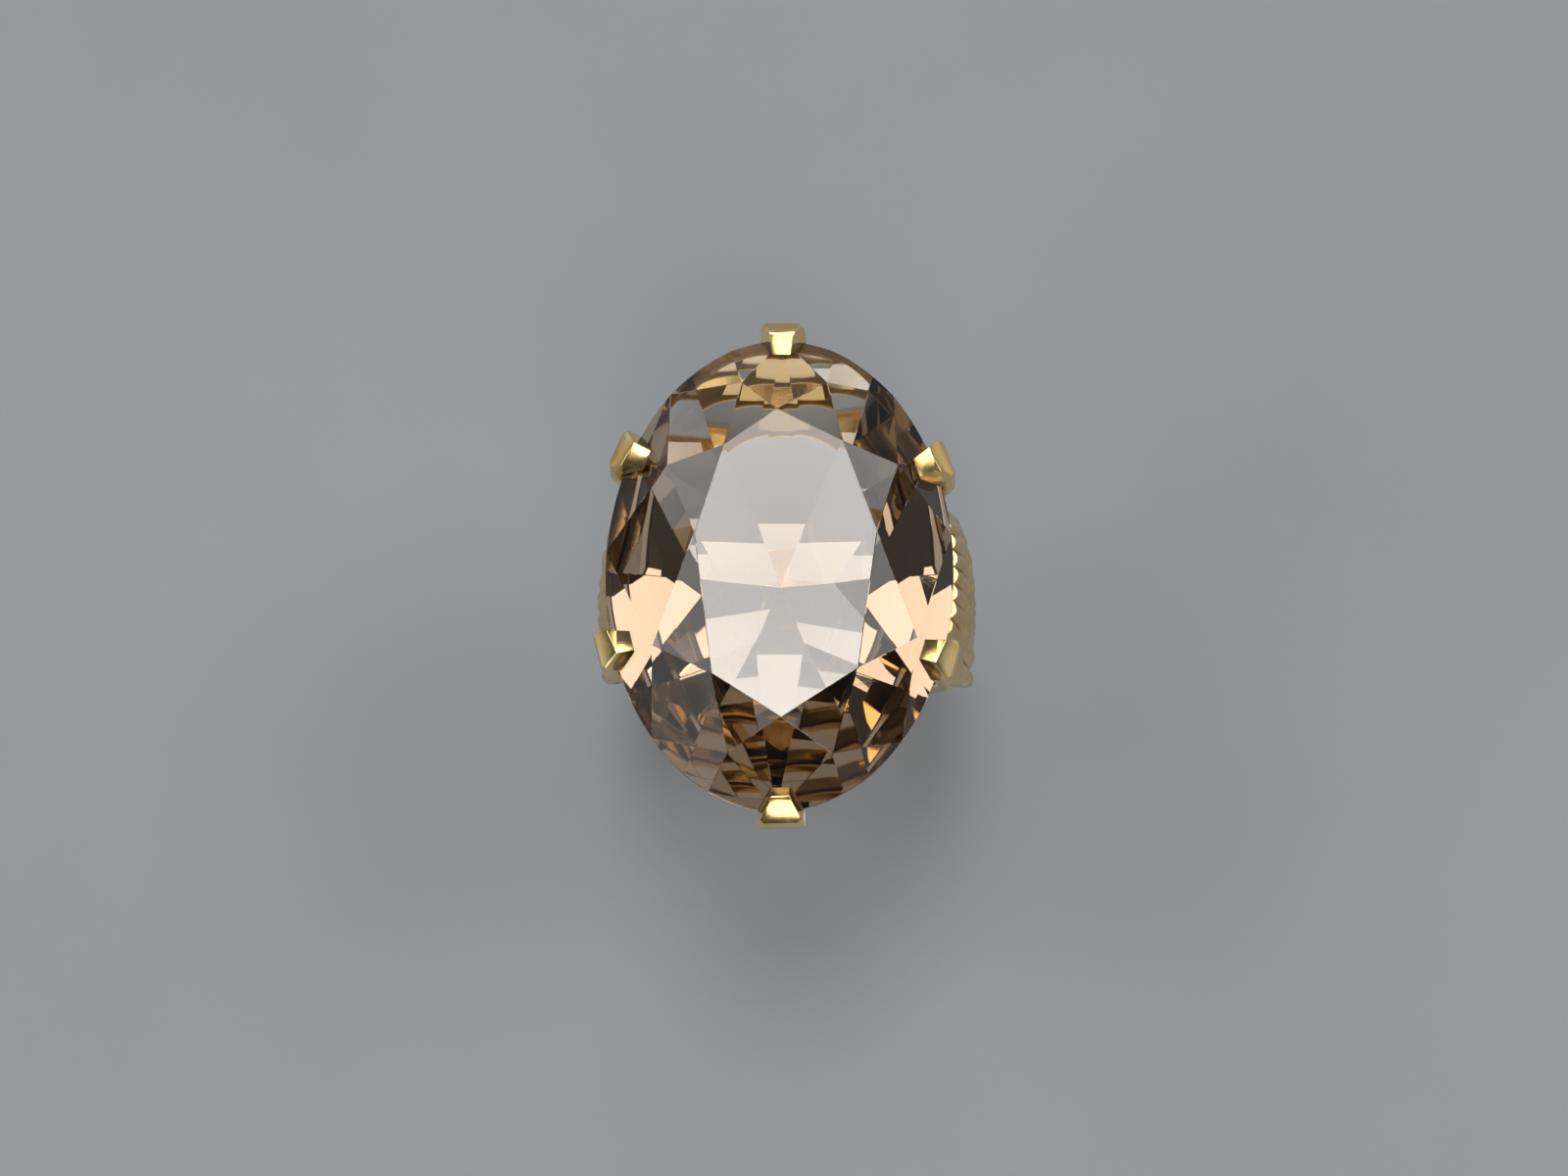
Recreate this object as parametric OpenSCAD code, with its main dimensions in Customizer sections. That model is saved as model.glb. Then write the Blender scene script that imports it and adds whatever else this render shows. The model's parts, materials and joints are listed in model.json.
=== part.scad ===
// Cocktail ring: a large oval brilliant held by six claws in an open two-rail
// basket, with fanned seven-bar shoulders soldered over a tapering shank.
// Frame: millimetres, origin at the centre of the finger hole, +Y along the
// finger, +Z up through the middle of the stone.

/* [Finger hole] */
// Inside diameter of the ring
finger_d = 17.3; // [16.6:0.1:17.6]

/* [Stone] */
// Width of the oval across the finger
stone_w = 18; // [17.6:0.1:18.1]
// Length of the oval along the finger
stone_l = 25; // [24.8:0.1:25.3]
// Height of the crown above the girdle
crown_h = 2.5; // [2.3:0.1:2.6]
// Depth of the pavilion below the girdle
pavilion_h = 6.5; // [6:0.1:6.6]
// Thickness of the girdle at its thickest
girdle_h = 0.6; // [0.55:0.05:0.65]
// How far the table stands in from the girdle
table_inset = 4.35; // [4.35:0.05:4.5]
// Height of the star points, as a share of the crown
star_share = 0.62; // [0.62:0.01:0.66]
// How far the lower halves run from girdle to culet
lower_half_share = 0.74; // [0.65:0.01:0.8]

/* [Claws] */
// Width of a claw at the girdle
claw_w = 2.4; // [2.2:0.05:2.5]
// How far a claw stands out past the girdle
claw_out = 0.85; // [0.7:0.05:0.95]
// How far a claw tip reaches in over the crown
claw_in = 1.05; // [0.9:0.05:1.15]
// Angle round the oval of the back right claw, from the right-hand side
angle_back_right = 27; // [26:0.5:28]
// Angle of the back left claw, from the left-hand side
angle_back_left = 29; // [28:0.5:30]
// Angle of the front left claw, from the left-hand side
angle_front_left = 20; // [19:0.5:21]
// Angle of the front right claw, from the right-hand side
angle_front_right = 22; // [22:0.5:23]

/* [Shank] */
// Thickness at the back of the hoop
shank_t = 1.5; // [1.35:0.05:1.6]
// Width at the back of the hoop
shank_w = 3.0; // [2.6:0.1:3.2]

/* [Shoulders] */
// Number of bars in each shoulder
bar_count = 7; // [7]
// Space between neighbouring bars
bar_gap = 0.04; // [0.03:0.01:0.08]

/* [Hidden] */
$fn = 64;

gold = [0.83, 0.66, 0.33];
smoky = [0.50, 0.37, 0.27, 0.6];
a = stone_w / 2;
b = stone_l / 2;
finger_r = finger_d / 2;
saddle_r = finger_r + 1.3;          // outside of the saddle rail, round the finger
band_r = finger_r + 1.0;            // outside of the shank under the bars
back_r = finger_r + shank_t;        // outside of the shank at its back
girdle_z = 16.45;                   // leaves the culet clear of the saddle rail
seat = 0.03;                        // solder and setting clearance

// ---- shared curves ---------------------------------------------------------
function mix(p, q, t) = p + (q - p) * t;
function lookup_smooth(t, tab, i = 0) =
    t <= tab[0][0] ? tab[0][1] :
    i >= len(tab) - 1 ? tab[len(tab) - 1][1] :
    t <= tab[i + 1][0] ?
        let (u = (t - tab[i][0]) / (tab[i + 1][0] - tab[i][0]),
             h = tab[i + 1][0] - tab[i][0],
             m0 = i == 0 ? (tab[1][1] - tab[0][1]) / (tab[1][0] - tab[0][0])
                         : (tab[i + 1][1] - tab[i - 1][1]) / (tab[i + 1][0] - tab[i - 1][0]),
             m1 = i + 2 >= len(tab) ? (tab[i + 1][1] - tab[i][1]) / h
                         : (tab[i + 2][1] - tab[i][1]) / (tab[i + 2][0] - tab[i][0]))
        (2*u*u*u - 3*u*u + 1) * tab[i][1] + (u*u*u - 2*u*u + u) * h * m0
        + (3*u*u - 2*u*u*u) * tab[i + 1][1] + (u*u*u - u*u) * h * m1
    : lookup_smooth(t, tab, i + 1);
function oval(ra, rb, n = 72) = [for (i = [0 : n - 1]) [ra * cos(360 * i / n), rb * sin(360 * i / n)]];

// ---- stone -----------------------------------------------------------------
// The girdle is an oval of eighty points, and facets are placed by counting
// round it. Each main facet is the plane through its inner point that touches
// the oval, so every facet is flat and neighbours meet at true points. The cut
// is a little uneven: the table leans towards the back and widens to the front.
girdle_n = 80;
top_z = girdle_h / 2;
function on_girdle(t, z = 0) = [a * cos(t), b * sin(t), z];
function g(k, z = 0) = on_girdle(360 * k / girdle_n, z);
function plane_of(k, z0, inner) =
    let (t = 360 * k / girdle_n, n = cross([-a * sin(t), b * cos(t), 0], inner - g(k, z0)))
    [n, n * g(k, z0)];
function meet_at(p, q, z) =            // where two planes cross at height z
    let (d = p[0][0] * q[0][1] - p[0][1] * q[0][0],
         e = p[1] - p[0][2] * z, f = q[1] - q[0][2] * z)
    [(e * q[0][1] - p[0][1] * f) / d, (p[0][0] * f - e * q[0][0]) / d, z];
function plane3(p, q, r) = let (n = cross(q - p, r - p)) [n, n * p];
function drop(pl, k) = let (e = g(k)) [e[0], e[1], (pl[1] - pl[0][0] * e[0] - pl[0][1] * e[1]) / pl[0][2]];

// crown: eight mains from the right-hand side, and the middles between them
crown_k = [2, 11, 20, 29, 39, 50, 60, 70];
crown_m = [6, 16, 24, 34, 44, 55, 65, 76];
table_share = [[1.08, 0.19], [0.70, 0.77], [-0.04, 0.98], [-0.62, 0.74],
               [-0.92, 0.17], [-0.70, -0.73], [0.06, -1.0], [0.88, -0.69]];
// pavilion: six mains, and the middles between them
pav_k = [7, 20, 33, 47, 60, 73];
pav_m = [13, 27, 40, 53, 67, 80];

table_pt = [for (p = table_share) [(a - table_inset) * p[0], (b - table_inset) * p[1], top_z + crown_h]];
culet_pt = [0, 0, -top_z - pavilion_h];
crown_pl = [for (i = [0 : 7]) plane_of(crown_k[i], top_z, table_pt[i])];
pav_pl = [for (i = [0 : 5]) plane_of(pav_k[i], -top_z, culet_pt)];
star_pt = [for (i = [0 : 7]) meet_at(crown_pl[i], crown_pl[(i + 1) % 8], top_z + star_share * crown_h)];
half_pt = [for (i = [0 : 5]) meet_at(pav_pl[i], pav_pl[(i + 1) % 6], -top_z - lower_half_share * pavilion_h)];
// half facets: [which point they hang from, first girdle point, last girdle point]
function halves(k, m) = [for (i = [0 : len(k) - 1]) each [[i, k[i], m[i]],
    [i, m[i], i == len(k) - 1 ? k[0] + girdle_n : k[i + 1]]]];
crown_half = halves(crown_k, crown_m);
pav_half = halves(pav_k, pav_m);
function edge_z(h, pts, z0, k) =       // the girdle edge at point k under the halves h
    let (j = k < h[0][1] ? k + girdle_n : k, f = [for (e = h) if (e[1] <= j && j < e[2]) e][0])
    j == f[1] ? g(k, z0) : drop(plane3(pts[f[0]], g(f[1], z0), g(f[2], z0)), k);
upper_edge = [for (k = [0 : girdle_n - 1]) edge_z(crown_half, star_pt, top_z, k)];
lower_edge = [for (k = [0 : girdle_n - 1]) edge_z(pav_half, half_pt, -top_z, k)];
stone_points = concat(table_pt, star_pt, upper_edge, lower_edge, half_pt, [culet_pt]);
T0 = 0; S0 = 8; U0 = 16; L0 = U0 + girdle_n; H0 = L0 + girdle_n; C0 = H0 + 6;
function u(k) = U0 + k % girdle_n;
function l(k) = L0 + k % girdle_n;
stone_faces = concat(
    [[for (i = [7 : -1 : 0]) T0 + i]],
    [for (i = [0 : 7]) [S0 + i, T0 + i, T0 + (i + 1) % 8]],
    [for (i = [0 : 7]) [T0 + i, S0 + i, u(crown_k[i]), S0 + (i + 7) % 8]],
    [for (h = crown_half) concat([S0 + h[0]], [for (k = [h[2] : -1 : h[1]]) u(k)])],
    [for (i = [0 : girdle_n - 1]) [u(i), u(i + 1), l(i + 1), l(i)]],
    [for (h = pav_half) concat([H0 + h[0]], [for (k = [h[1] : h[2]]) l(k)])],
    [for (i = [0 : 5]) [C0, H0 + (i + 5) % 6, l(pav_k[i]), H0 + i]]);

module stone() {
    color(smoky) translate([0, 0, girdle_z]) polyhedron(points = stone_points, faces = stone_faces);
}

// ---- claws -----------------------------------------------------------------
// Side view of a claw: r outwards from the girdle, z up from the girdle.
// foot_r is the middle of the foot and foot_z is below the rail it stands on.
// The side claws stand where two steeper half facets meet, so they rise more.
function crown_rise(r, k) = top_z + k * crown_h / table_inset * -r;
function claw_side(foot_r, foot_z, lean, k, up = 0) = [
    [foot_r - 0.6, foot_z],
    [foot_r + 0.65, foot_z],
    [claw_out - 0.12 + lean, -1.5],
    [claw_out, -0.5],
    [claw_out, 0.6],
    [claw_out - 0.14, 0.98 + up / 2],
    [claw_out - 0.95, 1.55 + up],
    [-claw_in + 0.45, 1.55 + up],
    [-claw_in, 1.15 + up],
    [-claw_in, crown_rise(-claw_in, k) + 0.04],
    [0.05, top_z + 0.04],
    [0.05, -top_z - 0.05],
    [-0.55, -top_z - 0.80],
    [-0.62, -1.5],
];
claw_face = [[-0.85, -9], [0.85, -9], [claw_w / 2, -1.2], [claw_w / 2, 0.8], [0.5, 1.95], [-0.5, 1.95], [-claw_w / 2, 0.8], [-claw_w / 2, -1.2]];

module claw(t, foot_r, foot_z, k = 1, lean = 0) {
    p = on_girdle(t, girdle_z);
    turn = atan2(sin(t) / b, cos(t) / a);
    color(gold) difference() {
        translate(p) rotate([0, 0, turn]) intersection() {
            rotate([90, 0, 0]) linear_extrude(height = claw_w + 0.2, center = true)
                polygon(claw_side(foot_r, foot_z, lean, k, (k - 1) * 0.6));
            rotate([90, 0, 90]) translate([0, 0, -8]) linear_extrude(height = 11) polygon(claw_face);
        }
        // the foot sits on the saddle rail
        rotate([90, 0, 0]) cylinder(r = saddle_r + seat, h = 40, center = true);
    }
}
end_foot_r = -4.15;
side_foot_r = -3.05;
side_rise = 1.34;
front_right_rise = 1.85;            // the table comes nearest the girdle here
module claw_back() claw(90, end_foot_r, -7);
module claw_front() claw(270, end_foot_r, -7);
module claw_back_right() claw(angle_back_right, side_foot_r, -8.6, side_rise);
module claw_back_left() claw(180 - angle_back_left, side_foot_r, -8.6, side_rise);
module claw_front_left() claw(180 + angle_front_left, side_foot_r, -8.6, side_rise);
module claw_front_right() claw(-angle_front_right, side_foot_r, -8.6, front_right_rise);

// everything outside a claw's inner face, which the upper rail is notched for
module claw_notch(t, foot_r, foot_z) {
    turn = atan2(sin(t) / b, cos(t) / a);
    s = (-0.62 - (foot_r - 0.6)) / (-1.5 - foot_z);
    translate(on_girdle(t, girdle_z)) rotate([0, 0, turn]) rotate([90, 0, 0])
        linear_extrude(height = claw_w + 0.04, center = true)
            polygon([[-0.62 - seat, -1.5], [-0.62 - seat - s * 3, -4.5], [3, -4.5], [3, -0.5], [-0.62 - seat, -0.5]]);
}
module all_notches() {
    claw_notch(90, end_foot_r, -7);
    claw_notch(270, end_foot_r, -7);
    for (t = [angle_back_right, 180 - angle_back_left, 180 + angle_front_left, -angle_front_right])
        claw_notch(t, side_foot_r, -8.6);
}

// ---- gallery rails ---------------------------------------------------------
rail_a = a - 0.5;                   // outside of the upper rail
rail_b = b - 0.5;
rail_w = 1.15;
rail_top = girdle_z - 1.7;
rail_h = 1.25;
module upper_gallery_rail() {
    color(gold) difference() {
        translate([0, 0, rail_top - rail_h]) linear_extrude(height = rail_h) difference() {
            polygon(oval(rail_a, rail_b));
            polygon(oval(rail_a - rail_w, rail_b - rail_w));
        }
        all_notches();
    }
}

saddle_a = 6.5;                     // outside of the saddle rail, seen from above
saddle_b = 9.0;
saddle_w = 1.4;
module saddle_rail() {
    color(gold) intersection() {
        difference() {
            rotate([90, 0, 0]) cylinder(r = saddle_r, h = 2 * saddle_b + 2, center = true);
            rotate([90, 0, 0]) cylinder(r = finger_r, h = 2 * saddle_b + 4, center = true);
        }
        translate([0, 0, 3]) linear_extrude(height = 9) difference() {
            polygon(oval(saddle_a, saddle_b));
            polygon(oval(saddle_a - saddle_w, saddle_b - saddle_w));
        }
    }
}

// ---- shank -----------------------------------------------------------------
ledge_z = -5.5;                     // the bars start on this ledge
lean_right = 0.25;                  // how far each fan leans to the back at its top
lean_left = 0.65;
trim_left = 0.35;                   // the left fan stands out less
shank_half = [[-12, shank_w / 2], [-8, shank_w / 2 + 0.02], [-5.5, 1.72], [-2, 2.25], [2, 2.95], [6, 3.5], [9, 3.6]];
module shank() {
    color(gold) difference() {
        intersection() {
            difference() {
                rotate([90, 0, 0]) rotate_extrude() polygon([
                    [finger_r, -4], [band_r, -4], [band_r, -2.2], [back_r - 0.25, -1.75], [back_r - 0.16, -1.4], [back_r - 0.08, -1.0],
                    [back_r - 0.02, -0.5], [back_r, 0], [back_r - 0.02, 0.5], [back_r - 0.08, 1.0], [back_r - 0.16, 1.4],
                    [back_r - 0.25, 1.75], [band_r, 2.2], [band_r, 4], [finger_r, 4]]);
                // rebate for the bars, above the ledge
                difference() {
                    rotate([90, 0, 0]) linear_extrude(height = 12, center = true)
                        polygon([[0, 0], [16 * cos(s_low), 16 * sin(s_low)], [16, 17], [-16, 17], [-16 * cos(s_low), 16 * sin(s_low)]]);
                    rotate([90, 0, 0]) cylinder(r = band_r, h = 14, center = true);
                }
            }
            rotate([90, 0, 90]) linear_extrude(height = 30, center = true)
                polygon(concat([for (p = shank_half) [p[1], p[0]]], [for (i = [len(shank_half) - 1 : -1 : 0]) [-shank_half[i][1], shank_half[i][0]]]));
        }
        // butts against the outside of the saddle rail
        linear_extrude(height = 20) polygon(oval(saddle_a + seat, saddle_b + seat));
    }
}

// ---- shoulder bars ---------------------------------------------------------
// The fan lies between two y-curves and two surfaces. Below the finger's middle
// it wraps the shank, and above it stands up to the upper rail. s runs from the
// ledge: negative values are degrees below the middle, positive ones are z.
s_low = asin(ledge_z / band_r);
fan_half = [[-6, 1.5], [-3, 1.95], [0, 2.6], [4, 3.55], [8, 4.4], [10.5, 4.65], [12, 4.12], [13, 3.62], [13.6, 3.42], [15.1, 3.22]];
fan_out = [[0, 10.5], [4, 10.58], [8, 10.5], [11, 10.22], [13, 9.92], [14.3, 9.6], [15.1, 9.3]];
fan_in = [[0, band_r + seat], [4, 9.6], [8, 9.35], [11, 9.05], [12.6, 8.8], [13.3, 8.6], [15.1, 8.56]];
function flare(z) = let (q = max(0, min(1, (z - 1) / 10))) q * q * (3 - 2 * q);
function inward(y, z) = 1 - flare(z) * (1 - sqrt(1 - (y / (b - 0.5)) * (y / (b - 0.5))));
function fan_x(tab, y, z) = lookup_smooth(z, tab) * inward(y, z);
function fan_point(s, y, outer, c0, trim) = let (c = c0 + (outer ? trim * flare(fan_z(s) + 4) : 0))
    s < 0 ? let (r = outer ? mix(back_r - 0.06 - 0.08 * y * y, fan_out[0][1], 1 - s / s_low) - c : band_r + seat) [r * cos(s), y, r * sin(s)]
          : [fan_x(outer ? fan_out : fan_in, y, s) - (outer ? c : 0), y, s];
function fan_z(s) = s < 0 ? band_r * sin(s) : s;
bar_s = concat([for (i = [0 : 7]) s_low * (1 - i / 8) + (i == 0 ? 0.15 : 0)], [for (i = [0 : 15]) 15.1 * i / 15]);
function bar_ring(i, s, lean, trim) =
    let (w = lookup_smooth(fan_z(s), fan_half), p = 2 * w / bar_count, m = lean * flare(fan_z(s)),
         y0 = m - w + p * i + bar_gap / 2, y1 = m - w + p * (i + 1) - bar_gap / 2, c = 0.22 * (y1 - y0))
    [fan_point(s, y0, false, 0, trim), fan_point(s, y1, false, 0, trim),
     fan_point(s, y1, true, c, trim), fan_point(s, y1 - c, true, 0, trim),
     fan_point(s, y0 + c, true, 0, trim), fan_point(s, y0, true, c, trim)];
module bar_solid(i, lean, trim) {
    n = len(bar_s);
    pts = [for (s = bar_s) each bar_ring(i, s, lean, trim)];
    polyhedron(points = pts, faces = concat(
        [[0, 1, 2, 3, 4, 5]],
        [[for (k = [5 : -1 : 0]) (n - 1) * 6 + k]],
        [for (j = [0 : n - 2]) for (k = [0 : 5]) let (q = (k + 1) % 6)
            each [[j * 6 + k, (j + 1) * 6 + k, j * 6 + q], [j * 6 + q, (j + 1) * 6 + k, (j + 1) * 6 + q]]]));
}
// bar 1 is at the front of each shoulder and bar 7 at the back
module shoulder_bar(i, left) {
    color(gold) if (left) mirror([1, 0, 0]) bar_solid(i, lean_left, trim_left); else bar_solid(i, lean_right, 0);
}

stone();
claw_back();
claw_front();
claw_back_left();
claw_back_right();
claw_front_left();
claw_front_right();
upper_gallery_rail();
saddle_rail();
shank();
shoulder_bar(0, false);  // shoulder_bar_right_1
shoulder_bar(1, false);  // shoulder_bar_right_2
shoulder_bar(2, false);  // shoulder_bar_right_3
shoulder_bar(3, false);  // shoulder_bar_right_4
shoulder_bar(4, false);  // shoulder_bar_right_5
shoulder_bar(5, false);  // shoulder_bar_right_6
shoulder_bar(6, false);  // shoulder_bar_right_7
shoulder_bar(0, true);  // shoulder_bar_left_1
shoulder_bar(1, true);  // shoulder_bar_left_2
shoulder_bar(2, true);  // shoulder_bar_left_3
shoulder_bar(3, true);  // shoulder_bar_left_4
shoulder_bar(4, true);  // shoulder_bar_left_5
shoulder_bar(5, true);  // shoulder_bar_left_6
shoulder_bar(6, true);  // shoulder_bar_left_7
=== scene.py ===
import json
import math
import bmesh
import bpy
from mathutils import Matrix, Vector, noise


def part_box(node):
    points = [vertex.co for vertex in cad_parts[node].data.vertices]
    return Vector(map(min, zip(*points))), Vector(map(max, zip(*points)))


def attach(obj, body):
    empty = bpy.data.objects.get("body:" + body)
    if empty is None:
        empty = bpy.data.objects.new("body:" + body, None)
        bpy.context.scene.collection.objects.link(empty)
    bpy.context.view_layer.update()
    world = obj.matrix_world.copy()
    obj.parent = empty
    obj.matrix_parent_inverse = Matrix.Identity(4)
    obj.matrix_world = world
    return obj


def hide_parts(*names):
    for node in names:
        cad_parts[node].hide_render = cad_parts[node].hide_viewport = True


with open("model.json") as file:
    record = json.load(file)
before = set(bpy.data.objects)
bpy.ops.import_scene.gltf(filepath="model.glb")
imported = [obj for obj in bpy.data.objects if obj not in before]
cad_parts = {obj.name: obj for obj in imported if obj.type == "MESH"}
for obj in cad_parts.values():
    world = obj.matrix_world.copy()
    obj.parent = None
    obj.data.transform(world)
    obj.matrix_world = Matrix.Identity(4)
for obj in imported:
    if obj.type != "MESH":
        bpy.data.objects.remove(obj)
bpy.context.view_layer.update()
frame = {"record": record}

MM = 0.001

# ---------------------------------------------------------------- sizes, from the frame
s_lo, s_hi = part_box("stone")
A = (s_hi.x - s_lo.x) / 2 / MM                 # half width and half length of the oval
B = (s_hi.y - s_lo.y) / 2 / MM
CULET_Z = s_lo.z / MM
TABLE_Z = s_hi.z / MM
GIRDLE_H = 0.6
CROWN_H = 2.5
GIRDLE_Z = TABLE_Z - CROWN_H - GIRDLE_H / 2
PAV_H = GIRDLE_Z - GIRDLE_H / 2 - CULET_Z
INSET = 4.35
STAR = 0.62
LOWER = 0.74
FINGER_R = 1000 * frame["record"]["mounts"][0]["dims"]["r_mm"] * MM
SADDLE_R = FINGER_R + 1.3
BAND_R = FINGER_R + 1.0
sh_lo, sh_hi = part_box("shank")
BACK_R = -sh_lo.z / MM
ur_lo, ur_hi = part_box("upper_gallery_rail")
sr_lo, sr_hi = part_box("saddle_rail")


def smooth_table(t, tab):
    if t <= tab[0][0]:
        return tab[0][1]
    if t >= tab[-1][0]:
        return tab[-1][1]
    for i in range(len(tab) - 1):
        if t <= tab[i + 1][0]:
            h = tab[i + 1][0] - tab[i][0]
            u = (t - tab[i][0]) / h
            m0 = (tab[1][1] - tab[0][1]) / (tab[1][0] - tab[0][0]) if i == 0 else (tab[i + 1][1] - tab[i - 1][1]) / (tab[i + 1][0] - tab[i - 1][0])
            m1 = (tab[i + 1][1] - tab[i][1]) / h if i + 2 >= len(tab) else (tab[i + 2][1] - tab[i][1]) / (tab[i + 2][0] - tab[i][0])
            return ((2 * u**3 - 3 * u * u + 1) * tab[i][1] + (u**3 - 2 * u * u + u) * h * m0
                    + (3 * u * u - 2 * u**3) * tab[i + 1][1] + (u**3 - u * u) * h * m1)


def ease(t, lo, hi):
    q = max(0.0, min(1.0, (t - lo) / (hi - lo)))
    return q * q * (3 - 2 * q)


# ---------------------------------------------------------------- materials
class Net:
    """A small helper that makes a node material."""

    def __init__(self, name):
        self.m = bpy.data.materials.new(name)
        self.m.use_nodes = True
        self.t = self.m.node_tree
        self.t.nodes.clear()
        self.out = self.t.nodes.new("ShaderNodeOutputMaterial")
        self.p = self.t.nodes.new("ShaderNodeBsdfPrincipled")
        self.t.links.new(self.p.outputs[0], self.out.inputs["Surface"])

    def node(self, kind, **values):
        n = self.t.nodes.new(kind)
        for k, v in values.items():
            setattr(n, k, v)
        return n

    def link(self, a, b):
        self.t.links.new(a, b)

    def coords(self, scale, rot=(0, 0, 0)):
        c = self.node("ShaderNodeTexCoord")
        m = self.node("ShaderNodeMapping")
        m.inputs["Scale"].default_value = scale
        m.inputs["Rotation"].default_value = rot
        self.link(c.outputs["Object"], m.inputs["Vector"])
        return m.outputs["Vector"]

    def noise(self, scale, detail=4.0, rough=0.55, stretch=(1, 1, 1), rot=(0, 0, 0)):
        n = self.node("ShaderNodeTexNoise")
        n.inputs["Scale"].default_value = scale
        n.inputs["Detail"].default_value = detail
        n.inputs["Roughness"].default_value = rough
        self.link(self.coords(stretch, rot), n.inputs["Vector"])
        return n.outputs["Fac"]

    def ramp(self, fac, stops):
        r = self.node("ShaderNodeValToRGB")
        while len(r.color_ramp.elements) < len(stops):
            r.color_ramp.elements.new(0.5)
        for e, (pos, col) in zip(r.color_ramp.elements, stops):
            e.position = pos
            e.color = (*col, 1) if isinstance(col, tuple) else (col, col, col, 1)
        self.link(fac, r.inputs["Fac"])
        return r.outputs["Color"]

    def mix(self, fac, a, b, mode="MIX"):
        n = self.node("ShaderNodeMix", data_type="RGBA", blend_type=mode)
        for sock, v in ((n.inputs[0], fac), (n.inputs[6], a), (n.inputs[7], b)):
            if isinstance(v, bpy.types.NodeSocket):
                self.link(v, sock)
            elif isinstance(v, tuple):
                sock.default_value = (*v, 1)
            else:
                sock.default_value = v
        return n.outputs[2]

    def math(self, op, a, b=0.0, clamp=False):
        n = self.node("ShaderNodeMath", operation=op, use_clamp=clamp)
        for sock, v in ((n.inputs[0], a), (n.inputs[1], b)):
            if isinstance(v, bpy.types.NodeSocket):
                self.link(v, sock)
            else:
                sock.default_value = v
        return n.outputs[0]

    def bump(self, height, strength, distance, normal=None):
        b = self.node("ShaderNodeBump")
        b.inputs["Strength"].default_value = strength
        b.inputs["Distance"].default_value = distance
        self.link(height, b.inputs["Height"])
        if normal is not None:
            self.link(normal, b.inputs["Normal"])
        return b.outputs["Normal"]


# the warm brown corner colour, its strength and its reach set the painted shade in corners, found by ambient
# occlusion
def gold(name, light=(0.94, 0.68, 0.28), deep=(0.78, 0.51, 0.18), shade_colour=(0.16, 0.10, 0.045), rough=(0.10, 0.26), scratches=0.12, grain=0.0, shade_strength=0.75, shade_reach=0.0007):
    n = Net(name)
    n.p.inputs["Metallic"].default_value = 1.0
    # slow drift of colour over the metal, as alloy and handling leave it
    tone = n.mix(n.ramp(n.noise(260, 3), [(0.3, 0.0), (0.72, 1.0)]), light, deep)
    # painted shade in the corners: ambient occlusion darkens the colour towards a warm brown, patchy by noise, and
    # also roughens it a little
    ao = n.node("ShaderNodeAmbientOcclusion", samples=6)
    ao.inputs["Distance"].default_value = shade_reach
    dark = n.ramp(ao.outputs["AO"], [(0.30, 1.0), (0.80, 0.0)])
    spread = n.ramp(n.noise(1900, 5, 0.6), [(0.32, 0.45), (0.7, 1.0)])
    shade_amount = n.math("MULTIPLY", n.math("MULTIPLY", dark, spread), shade_strength)
    body = n.mix(shade_amount, tone, shade_colour)
    # edges rubbed bright
    geo = n.node("ShaderNodeNewGeometry")
    edge = n.ramp(geo.outputs["Pointiness"], [(0.52, 0.0), (0.60, 1.0)])
    worn = n.mix(n.math("MULTIPLY", edge, 0.55), body, (0.95, 0.80, 0.48))
    n.link(worn, n.p.inputs["Base Color"])
    cloud = n.ramp(n.noise(900, 5, 0.6), [(0.3, rough[0]), (0.75, rough[1])])
    r = n.math("ADD", cloud, n.math("MULTIPLY", shade_amount, 0.35))
    n.link(n.math("SUBTRACT", r, n.math("MULTIPLY", edge, 0.05), True), n.p.inputs["Roughness"])
    # fine scratches in three directions, over faint file waves
    a = n.ramp(n.noise(1500, 2, 0.5, (1, 14, 1), (0.3, 0.2, 0.5)), [(0.45, 0.0), (0.55, 1.0)])
    b = n.ramp(n.noise(1300, 2, 0.5, (12, 1, 1), (0.1, 0.6, -0.4)), [(0.45, 0.0), (0.55, 1.0)])
    c = n.ramp(n.noise(1100, 2, 0.5, (1, 1, 13), (0.7, -0.2, 0.1)), [(0.45, 0.0), (0.55, 1.0)])
    lines = n.math("ADD", n.math("ADD", a, b), c)
    nrm = n.bump(n.noise(700, 2), 0.35, 0.00003)
    nrm = n.bump(lines, scratches, 0.000006, nrm)
    if grain:
        nrm = n.bump(n.noise(3800, 6, 0.65), grain, 0.00006, nrm)
    n.link(nrm, n.p.inputs["Normal"])
    return n.m


# the corner arguments given below set the strength and reach of the painted shade in each gold's corners
GOLD_CLAW = gold("gold_claw", rough=(0.10, 0.22), scratches=0.035, shade_reach=0.0005)
GOLD_RAIL = gold("gold_gallery", rough=(0.12, 0.28), scratches=0.10)
GOLD_SHANK = gold("gold_shank", rough=(0.09, 0.24), scratches=0.20, shade_strength=0.6)
GOLD_BARK = gold("gold_bark", light=(0.92, 0.66, 0.27), deep=(0.68, 0.45, 0.15), rough=(0.15, 0.33), scratches=0.06, grain=0.45, shade_strength=0.85, shade_reach=0.0005)


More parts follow.
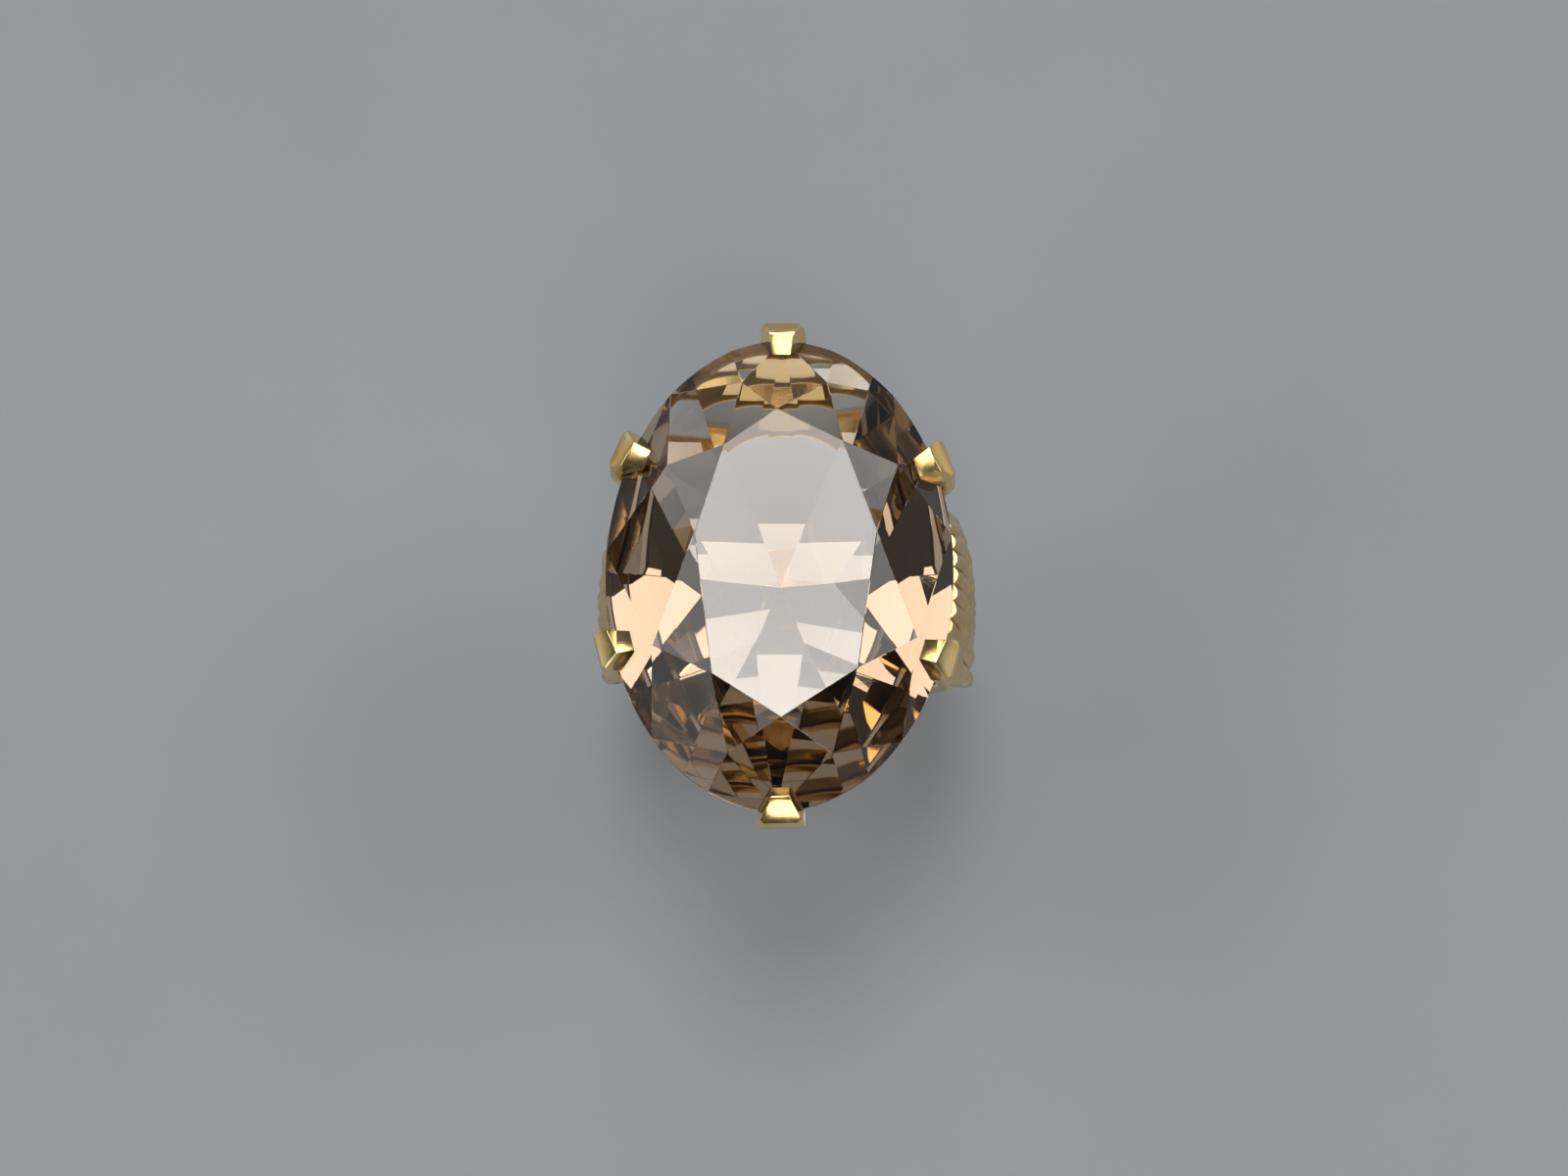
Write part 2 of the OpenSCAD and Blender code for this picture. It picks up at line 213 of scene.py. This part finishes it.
def smoky_stone():
    n = Net("smoky_quartz")
    n.p.inputs["Base Color"].default_value = (1, 1, 1, 1)
    n.p.inputs["Transmission Weight"].default_value = 1.0
    n.p.inputs["IOR"].default_value = 1.544
    n.p.inputs["Metallic"].default_value = 0.0
    # a few rubbed spots and hairlines on a polished stone
    spots = n.ramp(n.noise(1400, 6, 0.7), [(0.66, 0.0), (0.80, 0.03)])
    # the narrow girdle is left unpolished
    geo = n.node("ShaderNodeNewGeometry")
    sep = n.node("ShaderNodeSeparateXYZ")
    n.link(geo.outputs["Normal"], sep.inputs[0])
    girdle = n.math("LESS_THAN", n.math("ABSOLUTE", sep.outputs["Z"]), 0.12)
    n.link(n.math("ADD", spots, n.math("MULTIPLY", girdle, 0.38)), n.p.inputs["Roughness"])
    hair = n.ramp(n.noise(500, 2, 0.5, (1, 22, 1), (0, 0, 0.7)), [(0.49, 0.0), (0.50, 1.0)])
    n.link(n.bump(hair, 0.006, 0.000002), n.p.inputs["Normal"])
    v = n.node("ShaderNodeVolumeAbsorption")
    v.inputs["Color"].default_value = (0.70, 0.50, 0.25, 1)
    v.inputs["Density"].default_value = 80.0
    n.link(v.outputs[0], n.out.inputs["Volume"])
    return n.m


STONE = smoky_stone()


def finish_piece(bm, name, mat, node, smooth=None):
    bmesh.ops.remove_doubles(bm, verts=bm.verts, dist=1e-5)
    bmesh.ops.recalc_face_normals(bm, faces=bm.faces)
    bmesh.ops.scale(bm, vec=(MM, MM, MM), verts=bm.verts)
    me = bpy.data.meshes.new(name)
    bm.to_mesh(me)
    bm.free()
    if smooth is not None:
        for p in me.polygons:
            p.use_smooth = True
        me.set_sharp_from_angle(angle=math.radians(smooth))
    ob = bpy.data.objects.new(name, me)
    bpy.context.scene.collection.objects.link(ob)
    me.materials.append(mat)
    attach(ob, "root")
    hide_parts(node)
    return ob


# ---------------------------------------------------------------- stone
def on_girdle(deg, z=0.0):
    t = math.radians(deg)
    return Vector((A * math.cos(t), B * math.sin(t), z))


# facets are placed by counting eighty points round the girdle, as in the solid
CROWN_K = [2, 11, 20, 29, 39, 50, 60, 70]
CROWN_M = [6, 16, 24, 34, 44, 55, 65, 76]
TABLE_SHARE = [(1.08, 0.19), (0.70, 0.77), (-0.04, 0.98), (-0.62, 0.74), (-0.92, 0.17), (-0.70, -0.73), (0.06, -1.0), (0.88, -0.69)]
PAV_K = [7, 20, 33, 47, 60, 73]
PAV_M = [13, 27, 40, 53, 67, 80]
FINE = 3                                       # points between two of the eighty


def build_stone():
    top = GIRDLE_H / 2
    n = 80 * FINE

    def g(k, z=0.0):
        return on_girdle(360 * k / 80, z)

    def tangent_plane(k, z0, inner):
        t = 2 * math.pi * k / 80
        nrm = Vector((-A * math.sin(t), B * math.cos(t), 0)).cross(inner - g(k, z0))
        return nrm, nrm.dot(g(k, z0))

    def meet(p, q, z):
        d = p[0].x * q[0].y - p[0].y * q[0].x
        e, f = p[1] - p[0].z * z, q[1] - q[0].z * z
        return Vector(((e * q[0].y - p[0].y * f) / d, (p[0].x * f - e * q[0].x) / d, z))

    def plane3(p, q, r):
        nrm = (q - p).cross(r - p)
        return nrm, nrm.dot(p)

    def drop(pl, k):
        e = g(k)
        return Vector((e.x, e.y, (pl[1] - pl[0].x * e.x - pl[0].y * e.y) / pl[0].z))

    def side(ks, ms, inner, z0, height):
        """The points where mains meet, and the girdle edge, of the crown or the pavilion."""
        m = len(ks)
        planes = [tangent_plane(ks[i], z0, inner[i]) for i in range(m)]
        pts = [meet(planes[i], planes[(i + 1) % m], height) for i in range(m)]
        edge, halves = [None] * n, []
        for i in range(m):
            nxt = ks[(i + 1) % m] + (80 if i == m - 1 else 0)
            for lo, hi in ((ks[i], ms[i]), (ms[i], nxt)):
                pl = plane3(pts[i], g(lo, z0), g(hi, z0))
                halves.append((i, lo * FINE, hi * FINE))
                for j in range(lo * FINE, hi * FINE):
                    edge[j % n] = g(lo, z0) if j == lo * FINE else drop(pl, j / FINE)
        return pts, edge, halves

    tab = [Vector(((A - INSET) * x, (B - INSET) * y, top + CROWN_H)) for x, y in TABLE_SHARE]
    culet = Vector((0, 0, -top - PAV_H))
    star, upper, crown_halves = side(CROWN_K, CROWN_M, tab, top, top + STAR * CROWN_H)
    half, lower, pav_halves = side(PAV_K, PAV_M, [culet] * 6, -top, -top - LOWER * PAV_H)
    bm = bmesh.new()
    V = lambda c: bm.verts.new(c + Vector((0, 0, GIRDLE_Z)))
    T = [V(c) for c in tab]
    S = [V(c) for c in star]
    U = [V(c) for c in upper]
    L = [V(c) for c in lower]
    H = [V(c) for c in half]
    C = V(culet)
    bm.faces.new(T)
    for i in range(8):
        bm.faces.new((S[i], T[i], T[(i + 1) % 8]))
        bm.faces.new((T[i], S[(i + 7) % 8], U[CROWN_K[i] * FINE % n], S[i]))
    for i in range(6):
        bm.faces.new((C, H[i], L[PAV_K[i] * FINE % n], H[(i + 5) % 6]))
    for i, lo, hi in crown_halves:
        bm.faces.new([S[i]] + [U[j % n] for j in range(lo, hi + 1)])
    for i, lo, hi in pav_halves:
        bm.faces.new([H[i]] + [L[j % n] for j in range(lo, hi + 1)])
    for i in range(n):
        bm.faces.new((U[i], U[(i + 1) % n], L[(i + 1) % n], L[i]))
    ob = finish_piece(bm, "oval_brilliant_stone", STONE, "stone")
    bev = ob.modifiers.new("worn_edges", "BEVEL")
    bev.width = 0.02 * MM
    bev.segments = 1
    bev.limit_method = "ANGLE"
    bev.angle_limit = math.radians(6)
    return ob


stone = build_stone()


# ---------------------------------------------------------------- claws
def plane_cut(bm, point, normal):
    """Files the solid flat on one plane."""
    geom = bm.verts[:] + bm.edges[:] + bm.faces[:]
    r = bmesh.ops.bisect_plane(bm, geom=geom, plane_co=point, plane_no=normal, clear_outer=True, dist=1e-5)
    edges = [e for e in r["geom_cut"] if isinstance(e, bmesh.types.BMEdge)]
    if edges:
        bmesh.ops.holes_fill(bm, edges=edges, sides=0)


OUT, IN, HALF_W = 0.85, 1.05, 1.2


def build_claw(name, node, deg, foot_r, rise, tip, ridge, inner_w, skew=0.0, foot_z=-7.0):
    """A prong filed to a hipped tip.
    tip: height of the ridge over the girdle and of the inner end.
    ridge: its place r, and its half widths to the left and right.
    inner_w: half widths of the inner end, left and right."""
    top = GIRDLE_H / 2
    k = CROWN_H / INSET * rise
    peak, inner_z = tip
    ridge_r, hl, hr = ridge
    prof = [
        (foot_r - 0.6, foot_z), (foot_r + 0.65, foot_z),
        (OUT - 0.36, -1.6), (OUT - 0.05, -0.4), (OUT, 0.55),
        (OUT - 0.10, 0.95 + 0.5 * (peak - 1.48)), (ridge_r + 0.05, peak), (ridge_r - 0.05, peak),
        (-IN, inner_z), (-IN, top + k * IN + 0.03),
        (0.05, top + 0.03), (0.05, -top - 0.04), (-0.55, -top - 0.80), (-0.62, -1.5),
    ]
    bm = bmesh.new()
    w = HALF_W + 0.05
    left = [bm.verts.new((r, -w, z)) for r, z in prof]
    right = [bm.verts.new((r, w, z)) for r, z in prof]
    bm.faces.new(left)
    bm.faces.new(right[::-1])
    m = len(prof)
    for i in range(m):
        j = (i + 1) % m
        bm.faces.new((left[i], right[i], right[j], left[j]))
    bmesh.ops.recalc_face_normals(bm, faces=bm.faces)
    # the post tapers towards its foot
    for sgn in (-1, 1):
        plane_cut(bm, Vector((0, sgn * HALF_W, -1.0)), Vector((0, sgn, -0.048)).normalized())
        plane_cut(bm, Vector((0, sgn * (HALF_W - 0.01), 0)), Vector((0, sgn, 0.035)).normalized())
    for sgn, hw, iw in ((-1, hl, inner_w[0]), (1, hr, inner_w[1])):
        # hipped side of the tip
        p = Vector((ridge_r, sgn * hw, peak))
        q = Vector((OUT - 0.15, sgn * (HALF_W - 0.05), 0.94 + 0.5 * (peak - 1.48)))
        s = Vector((-IN, sgn * iw, inner_z))
        nrm = (q - p).cross(s - p).normalized()
        if nrm.y * sgn < 0:
            nrm = -nrm
        plane_cut(bm, p, nrm)
        # corner of the inner end, and the chamfer down the outer corner
        plane_cut(bm, Vector((-IN, sgn * (iw + 0.16), inner_z - 0.25)), Vector((-0.80, sgn, 0.62)).normalized())
        plane_cut(bm, Vector((OUT, sgn * (HALF_W - 0.36), 0.3)), Vector((1, sgn * 0.85, 0.16)).normalized())
    if skew:
        # one more stroke of the file across the ridge
        plane_cut(bm, Vector((ridge_r, 0, peak - 0.02)), Vector((0.1, skew, 1)).normalized())
    bmesh.ops.remove_doubles(bm, verts=bm.verts, dist=0.004)
    t = math.radians(deg)
    n = Vector((math.cos(t) / A, math.sin(t) / B, 0)).normalized()
    e = on_girdle(deg, GIRDLE_Z)
    M = Matrix(((n.x, -n.y, 0, e.x), (n.y, n.x, 0, e.y), (0, 0, 1, e.z), (0, 0, 0, 1)))
    bmesh.ops.transform(bm, matrix=M, verts=bm.verts)
    # the foot is shaped to the rail it is soldered to
    low = GIRDLE_Z + foot_z + 0.05
    for v in bm.verts:
        if v.co.z < low:
            v.co.z = math.sqrt(max(1.0, (SADDLE_R - 0.12) ** 2 - v.co.x ** 2))
    sharp = [e for e in bm.edges if len(e.link_faces) == 2 and e.calc_face_angle(0) > math.radians(18)]
    bmesh.ops.bevel(bm, geom=sharp, offset=0.13, offset_type="OFFSET", segments=4, profile=0.5, affect="EDGES", clamp_overlap=True)
    bmesh.ops.remove_doubles(bm, verts=bm.verts, dist=0.002)
    bmesh.ops.dissolve_degenerate(bm, edges=bm.edges[:], dist=0.002)
    bmesh.ops.triangulate(bm, faces=[f for f in bm.faces if len(f.verts) > 4])
    return finish_piece(bm, name, GOLD_CLAW, node, smooth=24)


END_FOOT, SIDE_FOOT = -4.15, -3.05
build_claw("prong_back", "claw_back", 90, END_FOOT, 1.0, (1.50, 1.12), (0.0, 0.60, 0.66), (0.45, 0.47), skew=-0.08)
build_claw("prong_front", "claw_front", 271.5, END_FOOT, 1.0, (1.46, 1.12), (-0.50, 0.45, 0.50), (0.42, 0.50), skew=0.03)
build_claw("prong_back_left", "claw_back_left", 180 - 29, SIDE_FOOT, 1.34, (1.66, 1.30), (-0.16, 0.50, 0.78), (0.48, 0.56), skew=0.10, foot_z=-8.6)
build_claw("prong_back_right", "claw_back_right", 27, SIDE_FOOT, 1.34, (1.66, 1.30), (-0.12, 0.62, 0.70), (0.55, 0.48), skew=-0.08, foot_z=-8.6)
build_claw("prong_front_left", "claw_front_left", 180 + 20, SIDE_FOOT, 1.34, (1.66, 1.30), (-0.18, 0.72, 0.52), (0.56, 0.46), skew=-0.12, foot_z=-8.6)
build_claw("prong_front_right", "claw_front_right", -22, SIDE_FOOT, 1.85, (1.90, 1.56), (-0.20, 0.52, 0.72), (0.46, 0.56), skew=0.10, foot_z=-8.6)


# ---------------------------------------------------------------- swept pieces
def rounded_section(x0, x1, y0, y1, r, seg=4, flat=3):
    """Points round a rectangle with rounded corners, counter-clockwise, with a few points on each flat."""
    pts = []
    corners = [(x1 - r, y0 + r, -90), (x1 - r, y1 - r, 0), (x0 + r, y1 - r, 90), (x0 + r, y0 + r, 180)]
    for i, (cx, cy, a0) in enumerate(corners):
        arc = [(cx + r * math.cos(math.radians(a0 + 90 * j / seg)), cy + r * math.sin(math.radians(a0 + 90 * j / seg))) for j in range(seg + 1)]
        pts += arc
        nx, ny, na = corners[(i + 1) % 4]
        b = (nx + r * math.cos(math.radians(na)), ny + r * math.sin(math.radians(na)))
        a = arc[-1]
        pts += [(a[0] + (b[0] - a[0]) * j / flat, a[1] + (b[1] - a[1]) * j / flat) for j in range(1, flat)]
    return pts


def sweep(rings, closed):
    """Joins rings of points into a closed skin. A ring is a list of points."""
    bm = bmesh.new()
    vs = [[bm.verts.new(p) for p in ring] for ring in rings]
    m, n = len(vs), len(vs[0])
    for i in range(m if closed else m - 1):
        for k in range(n):
            bm.faces.new((vs[i][k], vs[(i + 1) % m][k], vs[(i + 1) % m][(k + 1) % n], vs[i][(k + 1) % n]))
    if not closed:
        bm.faces.new(vs[0])
        bm.faces.new(vs[-1][::-1])
    return bm


def oval_normal(a, b, t):
    return Vector((math.cos(t) / a, math.sin(t) / b, 0)).normalized()


def build_upper_rail():
    a, b = ur_hi.x / MM, B - 0.5
    z0, z1 = ur_lo.z / MM, ur_hi.z / MM
    sec = rounded_section(-1.15, 0, z0, z1, 0.26, 5, 4)
    rings = []
    for i in range(240):
        t = 2 * math.pi * i / 240
        n = oval_normal(a, b, t)
        c = Vector((a * math.cos(t), b * math.sin(t), 0))
        ring = []
        for u, z in sec:
            p = c + n * u + Vector((0, 0, z))
            wob = 0.012 * noise.noise(p * 0.55) + 0.006 * noise.noise(p * 1.7)
            ring.append(p + n * wob * (1 if u > -0.5 else -1))
        rings.append(ring)
    return finish_piece(sweep(rings, True), "upper_rail", GOLD_RAIL, "upper_gallery_rail", smooth=40)


def build_saddle_rail():
    a, b = sr_hi.x / MM, sr_hi.y / MM
    sec = rounded_section(-1.4, 0, FINGER_R, SADDLE_R, 0.24, 5, 4)
    rings = []
    for i in range(240):
        t = 2 * math.pi * i / 240
        n = oval_normal(a, b, t)
        c = Vector((a * math.cos(t), b * math.sin(t), 0))
        ring = []
        for u, r in sec:
            p = c + n * u
            r += 0.010 * noise.noise(Vector((p.x, p.y, r)) * 0.6) * (1 if r > FINGER_R + 0.5 else 0)
            ring.append(Vector((p.x, p.y, math.sqrt(r * r - p.x * p.x))))
        rings.append(ring)
    return finish_piece(sweep(rings, True), "saddle_rail_formed", GOLD_RAIL, "saddle_rail", smooth=40)


LEDGE_Z = -5.5
S_LOW = math.degrees(math.asin(LEDGE_Z / BAND_R))
SHANK_HALF = [(-12, 1.5), (-8, 1.52), (-5.5, 1.72), (-2, 2.25), (2, 2.95), (6, 3.5), (9, 3.6)]


def build_shank():
    a, b = sr_hi.x / MM, sr_hi.y / MM
    ring_pts = 44
    steps = 260

    def outer(y, w, full):
        dome = BACK_R - 0.08 * y * y
        return BAND_R + (max(dome, BAND_R) - BAND_R) * full

    rings = []
    for i in range(steps + 1):
        u = i / steps
        ring = []
        # a ring's middle angle, from the right junction with the saddle rail, through the back, to the left
        phi_mid = math.radians(49.5 + (-229.5 - 49.5) * u)
        z_mid = BAND_R * math.sin(phi_mid)
        w = smooth_table(z_mid, SHANK_HALF)
        full = 1 - ease(z_mid, LEDGE_Z - 0.4, LEDGE_Z + 0.9)
        th = 0.26
        for k in range(ring_pts):
            # round the section: inner face, side, outer face, side
            q = k / ring_pts
            if q < 0.36:
                v = -1 + 2 * q / 0.36
                y = v * (w - 0.18)
                r = FINGER_R
            elif q < 0.5:
                v = (q - 0.36) / 0.14
                side = FINGER_R + v * (outer(w - 0.1, w, full) - FINGER_R)
                edge = 1 - (2 * v - 1) ** 4
                y = w - 0.18 + 0.18 * math.sqrt(max(0.0, edge))
                r = side
            elif q < 0.86:
                v = 1 - 2 * (q - 0.5) / 0.36
                y = v * (w - 0.18)
                r = outer(y, w, full)
            else:
                v = 1 - (q - 0.86) / 0.14
                side = FINGER_R + v * (outer(w - 0.1, w, full) - FINGER_R)
                edge = 1 - (2 * v - 1) ** 4
                y = -(w - 0.18) - 0.18 * math.sqrt(max(0.0, edge))
                r = side
            x_end = a * math.sqrt(max(0.0, 1 - (y / b) ** 2)) - 0.10
            p0 = math.acos(min(1.0, x_end / r))
            phi = p0 + (-math.pi - 2 * p0) * u
            if r > FINGER_R + 0.3:
                r += 0.012 * noise.noise(Vector((r * math.cos(phi), y, r * math.sin(phi))) * 0.45)
            ring.append(Vector((r * math.cos(phi), y, r * math.sin(phi))))
        rings.append(ring)
    return finish_piece(sweep(rings, False), "hoop", GOLD_SHANK, "shank", smooth=50)


FAN_HALF = [(-6, 1.5), (-3, 1.95), (0, 2.6), (4, 3.55), (8, 4.4), (10.5, 4.65), (12, 4.12), (13, 3.62), (13.6, 3.42), (15.1, 3.22)]
FAN_OUT = [(0, 10.5), (4, 10.58), (8, 10.5), (11, 10.22), (13, 9.92), (14.3, 9.6), (15.1, 9.3)]
FAN_IN = [(0, BAND_R), (4, 9.6), (8, 9.35), (11, 9.05), (12.6, 8.8), (13.3, 8.52), (15.1, 8.47)]


def inward(y, z):
    q = max(0.0, min(1.0, (z - 1) / 10))
    f = q * q * (3 - 2 * q)
    return 1 - f * (1 - math.sqrt(1 - (y / (B - 0.5)) ** 2))


def fan_point(s, y, outer, c, trim=0.0):
    if outer:
        c += trim * ease((BAND_R * math.sin(math.radians(s)) if s < 0 else s) + 4, 1, 11)
    if s < 0:
        if outer:
            q = 1 - s / S_LOW
            start = BACK_R - 0.02 - 0.08 * y * y
            r = start + (FAN_OUT[0][1] - start) * q - c
        else:
            r = BAND_R - 0.02
        return Vector((r * math.cos(math.radians(s)), y, r * math.sin(math.radians(s))))
    x = smooth_table(s, FAN_OUT if outer else FAN_IN) * inward(y, s)
    return Vector((x - (c if outer else 0), y, s))


def bark(i, side, along, across):
    """Depth of the hammered, bark-like grain at a place on bar i, in millimetres."""
    o = 17.3 * i + (91.7 if side < 0 else 0.0)
    ridge = noise.noise(Vector((along * 0.85 + o, across * 2.6, o)))
    fine = noise.noise(Vector((along * 2.6 + o, across * 4.5, o + 5.1)))
    pit = noise.cell(Vector((along * 1.25 + o + 0.35 * ridge, across * 0.9, o)))
    return 0.11 * ridge + 0.045 * fine + 0.035 * (pit - 0.5)


def build_bar(i, side):
    count, gap = 7, -0.02
    top_s = 15.1
    trim = 0.35 if side < 0 else 0.0                  # the left fan stands out less
    low, high = 34, 96
    ss = [S_LOW * (1 - j / low) for j in range(low)] + [top_s * j / high for j in range(high + 1)]
    across_n = 15
    rings = []
    for s in ss:
        z = BAND_R * math.sin(math.radians(s)) if s < 0 else s
        w = smooth_table(z, FAN_HALF)
        p = 2 * w / count
        lean = (0.25 if side > 0 else 0.65) * ease(z, 1, 11)      # the left fan leans further back
        y0, y1 = lean - w + p * i + gap / 2, lean - w + p * (i + 1) - gap / 2
        fade = ease(z, LEDGE_Z + 0.2, LEDGE_Z + 3.6)      # the bars grow out of the plain hoop
        tip = 1 - 0.6 * ease(z, 14.1, 15.1)                # and are dressed down at the rail
        half = (y1 - y0) / 2
        mid = (y0 + y1) / 2
        length = s * math.pi / 180 * BAND_R if s < 0 else s
        ring = [fan_point(s, y0 + 0.02, False, 0), fan_point(s, mid, False, 0), fan_point(s, y1 - 0.02, False, 0)]
        depth = (0.34 * fade * half / 0.65 + 0.02)
        # sides rise from the back to the dome
        for f in (0.35, 0.7):
            inner, outer = fan_point(s, y1, False, 0), fan_point(s, y1, True, depth + 0.06, trim)
            ring.append(inner.lerp(outer, f))
        for j in range(across_n):
            v = 1 - 2 * j / (across_n - 1)
            y = mid + v * half
            drop = depth * abs(v) ** 2.3 + 0.035 * (1 - tip)
            b = bark(i, side, length, v * half) * fade * tip * (1 - 0.35 * abs(v) ** 3)
            ring.append(fan_point(s, y, True, drop - b, trim))
        for f in (0.7, 0.35):
            inner, outer = fan_point(s, y0, False, 0), fan_point(s, y0, True, depth + 0.06, trim)
            ring.append(inner.lerp(outer, f))
        # the outermost bars step back a little from the middle ones
        step = 0.10 * max(0, abs(i - 3) - 2) * ease(z, 6, 10)
        ring = [Vector((q.x - (step if n > 4 else 0), q.y, q.z)) for n, q in enumerate(ring)]
        if side < 0:
            ring = [Vector((-q.x, q.y, q.z)) for q in ring]
        rings.append(ring)
    lr = "right" if side > 0 else "left"
    return finish_piece(sweep(rings, False), f"bark_bar_{lr}_{i + 1}", GOLD_BARK, f"shoulder_bar_{lr}_{i + 1}", smooth=60)


build_upper_rail()
build_saddle_rail()
build_shank()
for side in (1, -1):
    for i in range(7):
        build_bar(i, side)

# ---------------------------------------------------------------- floor, light, camera
def floor_material():
    n = Net("pale_floor")
    tone = n.mix(n.ramp(n.noise(30, 4), [(0.3, 0.0), (0.7, 1.0)]), (0.36, 0.39, 0.43), (0.38, 0.41, 0.45))
    n.link(tone, n.p.inputs["Base Color"])
    n.p.inputs["Roughness"].default_value = 0.8
    return n.m


fz = sh_lo.z
bm = bmesh.new()
bmesh.ops.create_grid(bm, x_segments=8, y_segments=8, size=1.6)
me = bpy.data.meshes.new("floor")
bm.to_mesh(me)
bm.free()
floor = bpy.data.objects.new("floor", me)
floor.location = (0, 0, fz)
bpy.context.scene.collection.objects.link(floor)
me.materials.append(floor_material())

world = bpy.data.worlds.new("studio")
bpy.context.scene.world = world
world.use_nodes = True
bg = world.node_tree.nodes["Background"]
# a room: pale walls low down, dim above them
wt = world.node_tree
gen = wt.nodes.new("ShaderNodeTexCoord")
sep = wt.nodes.new("ShaderNodeSeparateXYZ")
wt.links.new(gen.outputs["Generated"], sep.inputs[0])
ramp = wt.nodes.new("ShaderNodeValToRGB")
for pos, v in ((0.0, 0.31), (0.09, 0.62), (0.18, 0.52), (0.34, 0.11), (0.60, 0.06), (1.0, 0.06)):
    e = ramp.color_ramp.elements.new(pos) if pos not in (0.0, 1.0) else ramp.color_ramp.elements[0 if pos == 0.0 else -1]
    e.color = (v * 0.96, v * 0.98, v, 1)
wt.links.new(sep.outputs["Z"], ramp.inputs["Fac"])
wt.links.new(ramp.outputs["Color"], bg.inputs["Color"])
bg.inputs["Strength"].default_value = 1.0


def area(name, where, aim, size, power, colour=(1, 1, 1)):
    d = bpy.data.lights.new(name, "AREA")
    d.shape = "RECTANGLE"
    d.size, d.size_y = size
    d.energy = power
    d.color = colour
    o = bpy.data.objects.new(name, d)
    o.location = where
    o.rotation_mode = "QUATERNION"
    o.rotation_quaternion = (Vector(aim) - Vector(where)).to_track_quat("-Z", "Y")
    bpy.context.scene.collection.objects.link(o)
    return o


G = Vector((0, 0, GIRDLE_Z * MM))
up_dir = Vector((-0.03, 0.25, 0.97)).normalized()
# radiance L of an area light of power P and area S is P / (pi S)
def sun(name, direction, angle, radiance, colour):
    d = bpy.data.lights.new(name, "SUN")
    d.angle = math.radians(angle)
    d.energy = radiance * math.pi * math.sin(math.radians(angle / 2)) ** 2
    d.color = colour
    o = bpy.data.objects.new(name, d)
    o.rotation_mode = "QUATERNION"
    o.rotation_quaternion = Vector(direction).normalized().to_track_quat("Z", "Y")
    bpy.context.scene.collection.objects.link(o)
    return o


# the lamp gives the sheen on the table and metal, and the soft overhead light
# behind it is what comes back up through the stone
lamp = sun("round_softbox", up_dir, 20, 5.6, (1.0, 0.955, 0.92))
lamp.visible_transmission = False
# three weaker ones round it put the highlights on the filed claw tips
for n, way in enumerate(((0.08, -0.46, 0.88), (0.62, 0.18, 0.76), (-0.62, 0.22, 0.75))):
    spot = sun(f"edge_softbox_{n + 1}", way, 26, 2.8, (1.0, 0.98, 0.95))
    spot.visible_transmission = False
sun("overhead", (0.0, 0.42, 0.90), 34, 1.75, (1.0, 0.99, 0.98))
area("side_fill", G + Vector((-0.45, -0.20, 0.30)), G, (0.30, 0.30), 1.2 * math.pi * 0.09, (1.0, 0.97, 0.92))

# a soft light inside the finger hole, facing up, in place of the white bounce under the stone
under = area("under_bounce", (0, -0.0042, 0.002), (0, -0.0042, 0.1), (0.012, 0.0145), 0.50 * math.pi * 0.012 * 0.0145, (1.0, 0.94, 0.88))
under.visible_camera = False

cam_data = bpy.data.cameras.new("camera")
cam = bpy.data.objects.new("camera", cam_data)
bpy.context.scene.collection.objects.link(cam)
bpy.context.scene.camera = cam
CAM_D = 0.140
F_PX = 19.71 * CAM_D / MM
cam_data.sensor_width = 36.0
cam_data.lens = F_PX / 1600 * 36.0
cam_data.clip_start, cam_data.clip_end = 0.005, 20
az, el, roll = math.radians(7.2), math.radians(76.0), math.radians(-6.6)
back = Vector((math.sin(az) * math.cos(el), -math.cos(az) * math.cos(el), math.sin(el)))
right = Vector((0, 0, 1)).cross(back).normalized()
upv = back.cross(right)
r2 = right * math.cos(roll) + upv * math.sin(roll)
u2 = -right * math.sin(roll) + upv * math.cos(roll)
M = Matrix(((r2.x, u2.x, back.x), (r2.y, u2.y, back.y), (r2.z, u2.z, back.z)))
# the camera is turned a little so that the stone sits where it does in the frame
Q = Vector((0, 0, -1)).rotation_difference(Vector(((795.4 - 800) / F_PX, (600 - 583.9) / F_PX, -1)).normalized()).to_matrix()
cam.matrix_world = Matrix.Translation(G + back * CAM_D) @ (M @ Q.transposed()).to_4x4()

sc = bpy.context.scene
sc.view_settings.view_transform = "Standard"

bpy.context.view_layer.update()
